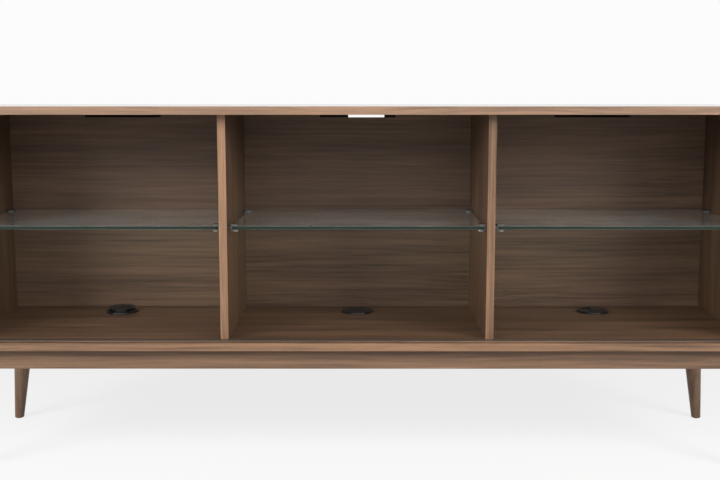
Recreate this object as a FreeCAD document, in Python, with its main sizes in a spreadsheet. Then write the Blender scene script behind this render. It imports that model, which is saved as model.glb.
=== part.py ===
import FreeCAD, Part
import Sketcher
import os
import re
from FreeCAD import Placement, Rotation, Vector

# Media cabinet: an open three-bay case on an apron frame with four splayed legs.
# Frame: X along the width, Y from front to rear, Z up. The origin is on the floor under the
# middle of the case. Lengths are in millimetres and angles in degrees.

SIZES = [
    # case
    ("case_width", 1905, "overall width of the case"),
    ("case_depth", 457, "overall depth of the case"),
    ("bay_height", 530, "clear height between floor panel and top panel"),
    ("board", 19, "thickness of the top, floor, sides and dividers"),
    ("arris", 0.8, "rounding of the boards' exposed edges"),
    ("divider_recess", 44, "dividers' front edges behind the case front, room for two doors"),
    # backs
    ("back_board", 12, "thickness of a back panel"),
    ("back_inset", 4, "rear of the back panels in from the rear of the case"),
    ("rebate", 9, "depth of the rebate that the backs lie in"),
    ("back_gap", 1, "gap between a back panel's edge and what is beside it"),
    ("slot_width", 203, "width of the cable slot in the top of each back"),
    ("slot_drop", 16, "cable slot's lower edge below the top panel"),
    ("strip_thick", 2, "thickness of the rubber strip behind a cable slot"),
    ("strip_lap", 8, "lap of the rubber strip on the back panel"),
    ("open_width", 97, "width left open in the centre strip"),
    ("open_shift", 23.5, "middle of that opening to the right of the bay's middle"),
    # door tracks
    ("track_setback", 10, "front of the upper track behind the case front"),
    ("track_width", 26, "width of the upper track"),
    ("track_end_gap", 0.5, "gap at each end of a track"),
    ("track_wall", 1.5, "wall and web thickness of the upper track"),
    ("track_height", 8, "height of the upper track, let in flush"),
    ("groove_setback", 10, "front of the floor groove behind the case front"),
    ("groove_width", 10, "width of the floor groove for the outer door"),
    ("groove_depth", 4, "depth of that groove"),
    ("strip_setback", 23, "front of the lower track behind the case front"),
    ("lower_width", 12, "width of the lower track"),
    ("lower_sink", 4, "depth that the lower track is let in"),
    ("lower_rise", 1, "height of the lower track above the floor panel"),
    # glass shelves and their clips
    ("glass_thick", 8, "thickness of a glass shelf"),
    ("glass_setback", 62, "front of a glass shelf behind the case front"),
    ("glass_back_gap", 5, "gap between a shelf and the back panel"),
    ("glass_clear", 1, "gap between a shelf's end and a clip's web"),
    ("glass_arris", 1, "polished chamfer on the glass edges"),
    ("pin_rise", 264, "shelf pin's height above the floor panel"),
    ("pin_step", 32, "spacing of the rows of pin holes"),
    ("front_pin", 71, "front pin holes behind the case front"),
    ("rear_pin_lead", 62, "rear pin holes in front of the back panels"),
    ("pin_bore", 2.5, "radius of a pin hole"),
    ("pin_web", 2, "wood left between the pin holes of a board's two faces"),
    ("pin_play", 0.05, "radial play of a clip's pin in its hole"),
    ("left_standoff", 7, "gap between the board and the clip's body at a bay's left"),
    ("right_standoff", 1, "gap between the board and the clip's body at a bay's right"),
    ("clip_length", 16, "clip's body measured away from the board"),
    ("clip_width", 18, "clip's body measured along the board"),
    ("clip_web", 3, "thickness of a clip's back web"),
    ("web_width", 10, "width of that web, narrower than the jaws"),
    ("upper_jaw", 3.7, "thickness of a clip's upper jaw"),
    ("lower_jaw", 2, "thickness of a clip's lower jaw"),
    ("clip_round", 0.9, "rounding of a clip's outer edges"),
    ("pad_thick", 0.8, "thickness of the pads on the glass"),
    ("clamp_shank", 2, "radius of a clip's clamp screw"),
    ("knob_radius", 5.5, "radius of the clamp screw's knob"),
    ("knob_height", 2.4, "height of the clamp screw's knob"),
    ("knob_round", 0.6, "bevel of the knob's edges"),
    ("knob_inset", 5.5, "clamp screw's middle in from the end of the jaws"),
    ("thread_play", 0.05, "radial play of screws, bolts and dowels in their holes"),
    # grommets
    ("grommet_lead", 77, "middle of a grommet in front of the back panels"),
    ("hole_radius", 38, "radius of the grommet hole in the floor panel"),
    ("liner_play", 0.2, "radial play of a liner in its hole"),
    ("liner_wall", 2.5, "wall of a liner's tube"),
    ("flange_lap", 4, "lap of a liner's flange on the floor panel"),
    ("flange_height", 4.5, "height of a liner's flange"),
    ("flange_round", 2.5, "rounding of the flange's outer edge"),
    ("liner_tail", 3, "liner's tube below the floor panel"),
    ("ledge_width", 4.1, "width of the ledge inside a liner"),
    ("ledge_top", 1.5, "top of the ledge above the floor panel"),
    ("ledge_thick", 2.5, "thickness of the ledge"),
    ("cap_gap", 0.5, "radial gap between a grommet cap and its liner"),
    ("cap_thick", 3.2, "thickness of a cap's disc"),
    ("cap_play", 0.3, "radial play of the cap's skirt in the ledge"),
    ("skirt_wall", 2.4, "wall of a cap's skirt"),
    ("skirt_length", 12, "length of a cap's skirt under its disc"),
    ("cord_radius", 12.5, "radius of the cord opening in cap and shutter"),
    ("cord_reach", 23, "middle of that radius from the cap's middle"),
    ("shutter_play", 0.3, "radial gap between a shutter's disc and the cap's skirt"),
    ("shutter_thick", 2, "thickness of a shutter's disc"),
    ("shutter_gap", 0.2, "gap between a shutter and its cap, above and below"),
    ("hub_radius", 4, "radius of the shutter's hub"),
    ("hub_play", 0.05, "radial play of that hub in the cap"),
    ("button_radius", 6.5, "radius of the finger button on the hub"),
    ("button_height", 1.6, "height of that button"),
    ("cap_raised", 9, "how far the left cap stands pulled up out of its liner"),
    # apron frame
    ("apron_height", 50, "height of the apron rails"),
    ("rail", 19, "thickness of the apron rails"),
    ("apron_setback", 30, "front and rear rails in from the case front and rear"),
    ("apron_end", 19, "end rails in from the case ends"),
    ("corner_block", 85, "side of a corner block"),
    # legs
    ("leg_height", 246, "underside of the apron above the floor"),
    ("leg_top_radius", 26, "leg's radius at its top"),
    ("leg_foot_radius", 12.2, "leg's radius at its foot"),
    ("leg_splay", 33, "foot's outward shift from the leg's top, along X and along Y"),
    ("leg_nest", 7.5, "middle of a leg's top in from the rails' inner faces"),
    ("foot_round", 2.5, "rounding of the foot's edge"),
    ("glide_radius", 8, "radius of a foot glide"),
    ("glide_thick", 1.5, "thickness of a foot glide"),
    ("glide_pin", 1.5, "radius of the glide's pin"),
    ("glide_pin_length", 12, "length of the glide's pin"),
    ("plate_side", 50, "side of a leg plate"),
    ("plate_thick", 3, "thickness of a leg plate"),
    ("plate_round", 5, "corner radius of a leg plate"),
    ("plate_screw_offset", 18, "plate screws from the plate's middle, along X and along Y"),
    ("hub_outer", 5.2, "radius of the leg plate's threaded hub"),
    ("hub_height", 12, "height of that hub above the plate"),
    ("hub_room", 0.5, "room round the hub in the corner block"),
    ("bolt_radius", 4, "radius of a leg bolt"),
    ("bolt_in_leg", 40, "length of a leg bolt inside the leg"),
    # dowels and screws
    ("dowel_radius", 4, "radius of a dowel"),
    ("dowel_length", 30, "length of a dowel"),
    ("dowel_seat", 12, "part of a dowel that sits in the board it enters from the face"),
    ("dowel_room", 0.5, "room past each end of a dowel"),
    ("dowel_margin", 60, "outer dowels in from a divider's front and rear"),
    ("rail_dowel_edge", 12, "upper rail dowels below the top of a rail"),
    ("plate_screw_bite", 11, "length of a leg plate's screw in the wood"),
    ("screw_radius", 1.5, "radius of a small screw"),
    ("screw_head", 3, "radius of a small screw's head"),
    ("screw_head_height", 1.8, "height of that head"),
    ("screw_bite", 13, "length of a small screw in the piece it holds to"),
    ("back_screw_margin", 40, "outer back screws in from the ends of a divider"),
    ("back_screw_edge", 4.25, "back screws in from a back panel's side edge"),
    ("track_screw_margin", 60, "end screws of a track in from its ends"),
    ("long_screw_radius", 2.5, "radius of a screw that holds the frame to the case"),
    ("long_screw_head", 5, "radius of its head"),
    ("long_screw_head_height", 3, "height of its head"),
    ("long_screw_sink", 10, "counterbore of that screw in a corner block"),
    ("long_screw_bite", 12, "length of that screw in the floor panel"),
    ("long_screw_near", 20, "that screw from one outer side of its corner block"),
    ("long_screw_far", 62, "that screw from the other outer side"),
]

# Lengths and places that follow from the sizes.
DERIVED = {
    "bay": "(case_width - 4 * board) / 3",
    "pitch": "(bay + board)",
    "side_x": "(case_width / 2)",
    "front_y": "(0 - case_depth / 2)",
    "rear_y": "(case_depth / 2)",
    "floor_z": "(leg_height + apron_height)",
    "deck_z": "(floor_z + board)",
    "ceiling_z": "(deck_z + bay_height)",
    "back_face": "(case_depth - back_inset - back_board)",
    "divider_depth": "(back_face - divider_recess)",
    "back_height": "(bay_height + 2 * (rebate - back_gap))",
    "track_length": "(case_width - 2 * board)",
    "left_glass_gap": "(left_standoff + clip_web + glass_clear)",
    "right_glass_gap": "(right_standoff + clip_web + glass_clear)",
    "glass_width": "(bay - left_glass_gap - right_glass_gap)",
    "glass_depth": "(back_face - glass_back_gap - glass_setback)",
    "rear_pin": "(back_face - rear_pin_lead)",
    "pin_depth": "((board - pin_web) / 2)",
    "pin_z": "(deck_z + pin_rise)",
    "pin_radius": "(pin_bore - pin_play)",
    "glass_half": "(glass_thick / 2)",
    "jaw_gap": "(glass_half + pad_thick)",
    "liner_radius": "(hole_radius - liner_play)",
    "liner_bore": "(liner_radius - liner_wall)",
    "flange_radius": "(hole_radius + flange_lap)",
    "ledge_bore": "(liner_bore - ledge_width)",
    "cap_radius": "(liner_bore - cap_gap)",
    "shutter_radius": "(skirt_radius - skirt_wall - shutter_play)",
    "grommet_setback": "(back_face - grommet_lead)",
    "skirt_radius": "(ledge_bore - cap_play)",
    "cap_top": "(ledge_top + cap_thick)",
    "shutter_top": "(ledge_top - shutter_gap)",
    "rail_span": "(case_depth - 2 * apron_setback - 2 * rail)",
    "frame_half": "(side_x - apron_end)",
    "leg_top_z": "(leg_height - plate_thick)",
    "leg_length": "(leg_top_z - glide_thick)",
    "block_x": "(frame_half - rail)",
    "block_y": "(rail_span / 2)",
    "leg_x": "(block_x - leg_nest)",
    "leg_y": "(block_y - leg_nest)",
    "dowel_hole": "(dowel_radius + thread_play)",
    "screw_hole": "(screw_radius + thread_play)",
    "first_dowel": "(divider_recess + dowel_margin)",
    "last_dowel": "(back_face - dowel_margin)",
    "upper_channel": "((track_width - 3 * track_wall) / 2)",
    "track_bite": "(screw_bite / 2)",
    "bolt_room": "(2 * dowel_room)",
    "head_room": "(screw_head_height + 0.2)",
}

PIN_ROWS = (-2, -1, 0, 1, 2)
BAYS = (("left", -1), ("centre", 0), ("right", 1))
SIDES = (("left", -1), ("right", 1))
ENDS = (("front", -1), ("rear", 1))
# Turn of each cap's cord opening about the upright axis, and of the shutter under it.
CAP_TURN = {"left": -10, "centre": 104, "right": 124}
SHUTTER_TURN = {"left": 0, "centre": 90, "right": 40}

doc = FreeCAD.newDocument("media_cabinet")
sheet = doc.addObject("Spreadsheet::Sheet", "Sizes")
for row, (alias, value, meaning) in enumerate(SIZES, start=1):
    sheet.set(f"A{row}", meaning)
    sheet.set(f"B{row}", str(value))
    sheet.setAlias(f"B{row}", alias)
doc.recompute()

WORD = re.compile(r"[a-z][a-z_]*")
ALIASES = {alias for alias, value, meaning in SIZES}
nodes = []


def formula(text):
    """Expand derived names and put the sheet's name before each alias."""
    def expand(match):
        word = match.group(0)
        if word in ALIASES:
            return "Sizes." + word
        return "(" + formula(DERIVED[word]) + ")"
    return WORD.sub(expand, str(text))


def number(text):
    """Value of a formula with the sheet's present sizes."""
    return float(sheet.evalExpression(formula(text)))


def put(item, x, y, z):
    """Bind an object's place to three formulas."""
    for axis, text in zip("xyz", (x, y, z)):
        item.setExpression(f"Placement.Base.{axis}", formula(text))


def keep(item, label, x=0, y=0, z=0):
    """Name a finished sub-part, place it and list it for export."""
    item.Label = label
    put(item, x, y, z)
    nodes.append(item)
    return item


def new_body(name):
    return doc.addObject("PartDesign::Body", name)


def new_sketch(body, name, plane, lift):
    """Sketch on one of the body's origin planes, lifted along that plane's normal."""
    sketch = body.newObject("Sketcher::SketchObject", name)
    origin_plane = [item for item in body.Origin.OriginFeatures if item.Role == plane][0]
    sketch.AttachmentSupport = [(origin_plane, "")]
    sketch.MapMode = "FlatFace"
    sketch.setExpression("AttachmentOffset.Base.z", formula(lift))
    return sketch


def bind_point(sketch, index, position, name, x, y):
    """Hold a point of the sketch at two formulas, measured from the sketch's origin."""
    for kind, text in (("DistanceX", x), ("DistanceY", y)):
        place = sketch.addConstraint(Sketcher.Constraint(kind, -1, 1, index, position, number(text)))
        sketch.renameConstraint(place, f"{name}_{kind[-1].lower()}")
        sketch.setExpression(f"Constraints[{place}]", formula(text))


def draw_polygon(sketch, points):
    """Closed outline through points given as formulas."""
    start = len(sketch.Geometry)
    spots = [Vector(number(x), number(y), 0) for x, y in points]
    count = len(points)
    for i in range(count):
        sketch.addGeometry(Part.LineSegment(spots[i], spots[(i + 1) % count]), False)
    for i in range(count):
        sketch.addConstraint(Sketcher.Constraint("Coincident", start + i, 2, start + (i + 1) % count, 1))
    for i, (x, y) in enumerate(points):
        bind_point(sketch, start + i, 1, f"p{start + i}", x, y)


def draw_circle(sketch, x, y, radius):
    """Circle with its middle and its radius given as formulas."""
    index = sketch.addGeometry(
        Part.Circle(Vector(number(x), number(y), 0), Vector(0, 0, 1), number(radius)), False)
    place = sketch.addConstraint(Sketcher.Constraint("Radius", index, number(radius)))
    sketch.setExpression(f"Constraints[{place}]", formula(radius))
    bind_point(sketch, index, 3, f"c{index}", x, y)


def box_points(x0, y0, x1, y1):
    return [(x0, y0), (x1, y0), (x1, y1), (x0, y1)]


def pad(body, name, plane, draw, length, lift=0, back=False, middle=False):
    """Add material: draw(sketch) makes the outline, length is a formula."""
    sketch = new_sketch(body, name + "_sketch", plane, lift)
    draw(sketch)
    feature = body.newObject("PartDesign::Pad", name)
    feature.Profile = sketch
    feature.Reversed = back
    feature.Midplane = middle
    feature.setExpression("Length", formula(length))
    doc.recompute()
    return feature


def pocket(body, name, plane, draw, length, lift=0, back=False):
    """Take material away, and make sure that something was cut."""
    before = body.Shape.Volume
    sketch = new_sketch(body, name + "_sketch", plane, lift)
    draw(sketch)
    feature = body.newObject("PartDesign::Pocket", name)
    feature.Profile = sketch
    feature.Reversed = back
    feature.setExpression("Length", formula(length))
    doc.recompute()
    if body.Shape.Volume > before - 0.01:
        raise RuntimeError(f"{body.Name}: {name} cuts nothing")
    return feature


def revolve(body, name, points, groove=False):
    """Turn an outline of (radius, height) formulas about the upright axis."""
    sketch = new_sketch(body, name + "_sketch", "XZ_Plane", 0)
    draw_polygon(sketch, points)
    kind = "PartDesign::Groove" if groove else "PartDesign::Revolution"
    feature = body.newObject(kind, name)
    feature.Profile = sketch
    feature.ReferenceAxis = (sketch, ["V_Axis"])
    feature.Angle = 360
    doc.recompute()
    return feature


def skew_loft(body, name, low, high):
    """Round bar between two level circles; each end is (x, y, z, radius) in formulas."""
    sketches = []
    for end, (x, y, z, radius) in (("low", low), ("high", high)):
        sketch = new_sketch(body, f"{name}_{end}", "XY_Plane", z)
        draw_circle(sketch, x, y, radius)
        sketches.append(sketch)
    feature = body.newObject("PartDesign::AdditiveLoft", name)
    feature.Profile = sketches[0]
    feature.Sections = [sketches[1]]
    feature.Ruled = True
    doc.recompute()
    return feature


def soften(body, name, wanted, radius, kind="Fillet"):
    """Round or chamfer the edges of the body's tip for which wanted(edge) is true."""
    base = body.Tip
    names = [f"Edge{i}" for i, edge in enumerate(base.Shape.Edges, start=1) if wanted(edge)]
    if not names:
        raise RuntimeError(f"{body.Name}: {name} finds no edge")
    feature = body.newObject("PartDesign::" + kind, name)
    feature.Base = (base, names)
    feature.setExpression("Radius" if kind == "Fillet" else "Size", formula(radius))
    doc.recompute()
    return feature


def runs_along(edge, axis):
    """True for a straight edge parallel to the axis 0, 1 or 2."""
    if len(edge.Vertexes) != 2 or edge.Curve.TypeId != "Part::GeomLine":
        return False
    step = edge.Vertexes[1].Point - edge.Vertexes[0].Point
    return abs(abs(step[axis]) - step.Length) < 1e-6


def polygon(*points):
    return lambda sketch: draw_polygon(sketch, points)


def rectangle(x0, y0, x1, y1):
    return lambda sketch: draw_polygon(sketch, box_points(x0, y0, x1, y1))


def circles(*rounds):
    def draw(sketch):
        for x, y, radius in rounds:
            draw_circle(sketch, x, y, radius)
    return draw


def upright_middles():
    """Middles of the four upright boards, measured from the left end of the case."""
    return [f"board / 2 + {i} * pitch" for i in range(4)]


def dowel_places():
    """Dowels along an upright board, measured from the case front."""
    return ["first_dowel", "(first_dowel + last_dowel) / 2", "last_dowel"]


def track_screw_places():
    """Track screws, measured from the left end of the track's recess."""
    return ["track_screw_margin",
            "track_screw_margin + (track_length - 2 * track_screw_margin) / 3",
            "track_screw_margin + (track_length - 2 * track_screw_margin) * 2 / 3",
            "track_length - track_screw_margin"]


def back_screw_rises():
    """Heights of the back screws above the floor panel."""
    return ["back_screw_margin", "bay_height / 2", "bay_height - back_screw_margin"]


def long_screw_offsets():
    """Frame screws of a corner block, from its two outer sides."""
    return [("long_screw_far", "long_screw_near"), ("long_screw_near", "long_screw_far")]


def corner_names():
    for end, sign_y in ENDS:
        for side, sign_x in SIDES:
            yield f"{end}_{side}", sign_x, sign_y


# ---- case ----

# For the top panel (True) and the floor panel (False): front, width and depth of the track's
# recess, and the line of the track's screws behind the case front.
TRACK_RECESS = {True: ("track_setback", "track_width", "track_height"),
                False: ("strip_setback", "lower_width", "lower_sink")}
TRACK_SCREW_LINE = {True: "(track_setback + track_wall + upper_channel / 2)",
                    False: "(strip_setback + lower_width / 2)"}


def make_level_board(label, base_z, is_top):
    """Top or floor panel, full width, with its inner face towards the bays."""
    body = new_body(label)
    pad(body, "blank", "XY_Plane", rectangle("0", "0", "case_width", "case_depth"), "board")
    soften(body, "edges", lambda edge: True, "arris")
    inner = "0" if is_top else "board"
    pocket(body, "back_rebate", "XY_Plane",
           rectangle("board - rebate", "back_face", "case_width - board + rebate",
                     "case_depth + 1"),
           "rebate", inner, is_top)
    start, width, depth = TRACK_RECESS[is_top]
    pocket(body, "track_recess", "XY_Plane",
           rectangle("board", start, "case_width - board", f"{start} + {width}"),
           depth, inner, is_top)
    seats = [(x, y, "dowel_hole") for x in upright_middles() for y in dowel_places()]
    pocket(body, "dowel_holes", "XY_Plane", circles(*seats), "dowel_seat + dowel_room",
           inner, is_top)
    screws = [(f"board + {x}", TRACK_SCREW_LINE[is_top], "screw_hole")
              for x in track_screw_places()]
    pocket(body, "track_screw_holes", "XY_Plane", circles(*screws), f"{depth} + track_bite",
           inner, is_top)
    return keep(body, label, "0 - side_x", "front_y", base_z)


def make_top_panel():
    return make_level_board("top_panel", "ceiling_z", True)


def make_floor_panel():
    body = make_level_board("floor_panel", "floor_z", False)
    pocket(body, "door_groove", "XY_Plane",
           rectangle("board", "groove_setback", "case_width - board",
                     "groove_setback + groove_width"), "groove_depth", "board")
    holes = [(f"board + bay / 2 + {i} * pitch", "grommet_setback", "hole_radius")
             for i in range(3)]
    pocket(body, "grommet_holes", "XY_Plane", circles(*holes), "board + 1", "board")
    bites = []
    for name, sign_x, sign_y in corner_names():
        for from_end, from_side in long_screw_offsets():
            bites.append((f"side_x + {sign_x} * (block_x - {from_end})",
                          f"case_depth / 2 + {sign_y} * (block_y - {from_side})",
                          "long_screw_radius + thread_play"))
    pocket(body, "frame_screw_holes", "XY_Plane", circles(*bites), "long_screw_bite", "0", True)
    return body


def cut_end_dowels(body, middle, shift):
    """Dowel holes in both ends of an upright board."""
    seats = [(middle, f"{y} - {shift}", "dowel_hole") for y in dowel_places()]
    depth = "dowel_length - dowel_seat + dowel_room"
    pocket(body, "lower_dowel_holes", "XY_Plane", circles(*seats), depth, "0", True)
    pocket(body, "upper_dowel_holes", "XY_Plane", circles(*seats), depth, "bay_height")


def cut_pin_holes(body, name, shift, face, towards_x):
    """Two columns of shelf pin holes in one face of an upright board."""
    holes = [(f"{column} - {shift}", f"pin_rise + {step} * pin_step", "pin_bore")
             for column in ("front_pin", "rear_pin") for step in PIN_ROWS]
    pocket(body, name, "YZ_Plane", circles(*holes), "pin_depth", face, towards_x)


def front_edges(front):
    """Edges of an upright board's front, apart from its hidden ends."""
    def wanted(edge):
        return runs_along(edge, 2) and abs(edge.CenterOfMass.y - front) < 1e-6
    return wanted


def make_side_panel(side, sign):
    body = new_body(f"{side}_side_panel")
    pad(body, "blank", "YZ_Plane", rectangle("0", "0", "case_depth", "bay_height"), "board")
    soften(body, "front_edges", front_edges(0), "arris")
    inner = "board" if sign < 0 else "0"
    pocket(body, "back_rebate", "YZ_Plane",
           rectangle("back_face", "0 - 1", "case_depth + 1", "bay_height + 1"), "rebate",
           inner, sign > 0)
    cut_end_dowels(body, "board / 2", "0")
    cut_pin_holes(body, "pin_holes", "0", inner, sign > 0)
    screw_x = "board - rebate + back_gap + back_screw_edge"
    across = screw_x if sign < 0 else f"board - ({screw_x})"
    screws = [(across, z, "screw_hole") for z in back_screw_rises()]
    pocket(body, "back_screw_holes", "XZ_Plane", circles(*screws), "screw_bite",
           "0 - back_face", True)
    return keep(body, f"{side}_side_panel",
                "0 - side_x" if sign < 0 else "side_x - board", "front_y", "deck_z")


def make_divider(side, sign):
    body = new_body(f"{side}_divider")
    pad(body, "blank", "YZ_Plane", rectangle("0", "0", "divider_depth", "bay_height"), "board")
    soften(body, "front_edges", front_edges(0), "arris")
    cut_end_dowels(body, "board / 2", "divider_recess")
    cut_pin_holes(body, "left_pin_holes", "divider_recess", "0", True)
    cut_pin_holes(body, "right_pin_holes", "divider_recess", "board", False)
    offset = "(back_gap / 2 + back_screw_edge)"
    screws = [(f"board / 2 + {hand} * {offset}", z, "screw_hole")
              for hand in (-1, 1) for z in back_screw_rises()]
    pocket(body, "back_screw_holes", "XZ_Plane", circles(*screws), "screw_bite",
           "0 - divider_depth", True)
    return keep(body, f"{side}_divider", f"{sign} * pitch / 2 - board / 2",
                "front_y + divider_recess", "deck_z")


def back_edges(sign):
    """Left and right edges of a back panel from the middle of its bay."""
    outer = "(bay / 2 + rebate - back_gap)"
    inner = "(bay / 2 + board / 2 - back_gap / 2)"
    left = outer if sign < 0 else inner
    right = outer if sign > 0 else inner
    return left, right


def make_back_panel(name, sign):
    """Back of one bay, with a cable slot in its top edge, screwed on from the rear."""
    body = new_body(f"{name}_back_panel")
    left, right = back_edges(sign)
    pad(body, "blank", "XZ_Plane",
        rectangle(f"0 - {left}", "0", right, "back_height"), "back_board")
    pocket(body, "cable_slot", "XZ_Plane",
           rectangle("0 - slot_width / 2", "rebate - back_gap + bay_height - slot_drop",
                     "slot_width / 2", "back_height + 1"),
           "back_board + 2", "back_board + 1")
    holes = [(x, f"rebate - back_gap + {z}", "screw_hole")
             for x in (f"back_screw_edge - {left}", f"{right} - back_screw_edge")
             for z in back_screw_rises()]
    pocket(body, "screw_holes", "XZ_Plane", circles(*holes), "back_board + 2",
           "back_board + 1")
    return keep(body, f"{name}_back_panel", f"{sign} * pitch", "rear_y - back_inset",
                "deck_z - rebate + back_gap")


def make_cable_strip(name, sign):
    """Rubber strip stuck behind the cable slot; the centre one leaves a part open."""
    body = new_body(f"{name}_cable_strip")
    foot = "(ceiling_z - slot_drop)"
    pad(body, "blank", "XZ_Plane",
        rectangle("0 - slot_width / 2 - strip_lap", "0", "slot_width / 2 + strip_lap",
                  "slot_drop + strip_lap + rebate - back_gap"),
        "strip_thick")
    if name == "centre":
        pocket(body, "opening", "XZ_Plane",
               rectangle("open_shift - open_width / 2", "strip_lap",
                         "open_shift + open_width / 2",
                         "slot_drop + strip_lap + rebate"),
               "strip_thick + 2", "strip_thick + 1")
    return keep(body, f"{name}_cable_strip", f"{sign} * pitch",
                "rear_y - back_inset + strip_thick", f"{foot} - strip_lap")


# ---- door tracks ----

def make_upper_track():
    """Twin channel let into the underside of the top panel, open downwards."""
    body = new_body("upper_door_track")
    near = "track_wall + upper_channel"
    web = "track_height - track_wall"
    profile = polygon(
        ("0", "0"), ("track_wall", "0"), ("track_wall", web), (near, web), (near, "0"),
        (f"{near} + track_wall", "0"), (f"{near} + track_wall", web),
        ("track_width - track_wall", web), ("track_width - track_wall", "0"),
        ("track_width", "0"), ("track_width", "track_height"), ("0", "track_height"))
    pad(body, "section", "YZ_Plane", profile, "track_length - 2 * track_end_gap")
    holes = [(f"{x} - track_end_gap", f"{TRACK_SCREW_LINE[True]} - track_setback",
              "screw_hole") for x in track_screw_places()]
    pocket(body, "screw_holes", "XY_Plane", circles(*holes), "track_height", "track_height")
    return keep(body, "upper_door_track", "board + track_end_gap - side_x",
                "front_y + track_setback", "ceiling_z")


def make_lower_track():
    """Flat strip let into the floor panel, a little proud, with sunk screw heads."""
    body = new_body("lower_door_track")
    top = "lower_sink + lower_rise"
    pad(body, "section", "YZ_Plane", rectangle("0", "0", "lower_width", top),
        "track_length - 2 * track_end_gap")
    height = number(top)
    soften(body, "upper_edges",
           lambda edge: runs_along(edge, 0) and abs(edge.CenterOfMass.z - height) < 1e-6,
           "arris / 2", "Chamfer")
    sinks = [(f"{x} - track_end_gap", "lower_width / 2", "screw_head + thread_play")
             for x in track_screw_places()]
    pocket(body, "screw_sinks", "XY_Plane", circles(*sinks), "head_room", top)
    holes = [(x, y, "screw_hole") for x, y, radius in sinks]
    pocket(body, "screw_holes", "XY_Plane", circles(*holes), f"{top} + 1", top)
    return keep(body, "lower_door_track", "board + track_end_gap - side_x",
                "front_y + strip_setback", "deck_z - lower_sink")


# ---- glass shelves and clips ----

def make_glass_shelf(name, sign):
    body = new_body(f"{name}_glass_shelf")
    pad(body, "sheet", "XY_Plane", rectangle("0", "0", "glass_width", "glass_depth"),
        "glass_thick")
    soften(body, "polished_edges", lambda edge: True, "glass_arris", "Chamfer")
    return keep(body, f"{name}_glass_shelf",
                f"{sign} * pitch - bay / 2 + left_glass_gap",
                "front_y + glass_setback", "pin_z - glass_half")


def make_clip_pattern(hand_name, standoff):
    """Shelf clip on a left-hand board: pin along X into the board, jaws towards +X."""
    body = new_body(f"{hand_name}_clip_pattern")
    low = "0 - jaw_gap - lower_jaw"
    throat = f"{standoff} + clip_web"
    end = f"{standoff} + clip_length"
    profile = polygon(
        (standoff, low), (end, low), (end, "0 - jaw_gap"), (throat, "0 - jaw_gap"),
        (throat, "jaw_gap"), (end, "jaw_gap"), (end, "jaw_gap + upper_jaw"),
        (standoff, "jaw_gap + upper_jaw"))
    pad(body, "jaws", "XZ_Plane", profile, "clip_width", middle=True)
    outer = number(standoff), number(end)
    levels = number("jaw_gap + upper_jaw"), number(low)

    def is_outer(edge):
        middle = edge.CenterOfMass
        at_end = min(abs(middle.x - x) for x in outer) < 1e-6
        at_level = min(abs(middle.z - z) for z in levels) < 1e-6
        return runs_along(edge, 1) and at_end and at_level

    soften(body, "rounded_edges", is_outer, "clip_round")
    beside_web = rectangle(standoff, "0 - jaw_gap", throat, "jaw_gap")
    web_step = "(clip_width - web_width) / 2"
    pocket(body, "front_of_web", "XZ_Plane", beside_web, web_step, "clip_width / 2")
    pocket(body, "rear_of_web", "XZ_Plane", beside_web, web_step, "0 - clip_width / 2", True)
    pad(body, "pin", "YZ_Plane", circles(("0", "0", "pin_radius")),
        f"pin_depth - dowel_room + {standoff}", "dowel_room - pin_depth")
    pocket(body, "clamp_hole", "XY_Plane",
           circles((f"{end} - knob_inset", "0", "clamp_shank + thread_play")),
           "lower_jaw + 1", "0 - jaw_gap + 0.5")
    return body


def make_clamp_pattern():
    """Clamp screw of a clip: a round knob under the lower jaw and a shank through it."""
    body = new_body("clamp_pattern")
    jaw = "(0 - jaw_gap - lower_jaw)"
    foot = f"({jaw} - knob_height)"
    revolve(body, "screw", [
        ("0", foot), ("knob_radius - knob_round", foot), ("knob_radius", f"{foot} + knob_round"),
        ("knob_radius", f"{jaw} - knob_round"), ("knob_radius - knob_round", jaw),
        ("clamp_shank", jaw),
        ("clamp_shank", "0 - jaw_gap"), ("0", "0 - jaw_gap")])
    return body


def make_upper_pad_pattern(hand_name, standoff):
    """Pad between the glass and a clip's upper jaw."""
    body = new_body(f"{hand_name}_pad_pattern")
    pad(body, "pad", "XY_Plane",
        rectangle(f"{standoff} + clip_web + 1", "1 - clip_width / 2",
                  f"{standoff} + clip_length - 1", "clip_width / 2 - 1"),
        "pad_thick", "glass_half")
    return body


def make_tip_pad_pattern():
    """Disc between the glass and the tip of a clamp screw."""
    body = new_body("tip_pad_pattern")
    pad(body, "disc", "XY_Plane", circles(("0", "0", "clamp_shank + 1.5")), "pad_thick",
        "0 - jaw_gap")
    return body


def linked(pattern, name, x, y, z, turn=0):
    """Copy of a pattern at a place given by formulas, turned about the upright axis."""
    link = doc.addObject("App::Link", name)
    link.LinkedObject = pattern
    link.Placement = Placement(Vector(), Rotation(Vector(0, 0, 1), turn))
    put(link, x, y, z)
    return link


def grouped(label, links):
    """One node of separate like solids."""
    group = doc.addObject("Part::Compound", label)
    group.Links = links
    return keep(group, label)


def clip_places(sign):
    """The four clips of a bay: hand of the bay, board face and setback."""
    for hand in (-1, 1):
        for setback in ("front_pin", "rear_pin"):
            yield hand, f"({sign} * pitch + {hand} * bay / 2)", f"front_y + {setback}"


def make_clip_patterns():
    """Patterns by hand of the bay (-1 left, 1 right): clip, upper pad and standoff."""
    patterns = {}
    for hand, hand_name in ((-1, "left"), (1, "right")):
        standoff = f"{hand_name}_standoff"
        patterns[hand] = (make_clip_pattern(hand_name, standoff),
                          make_upper_pad_pattern(hand_name, standoff), standoff)
    return patterns


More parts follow.
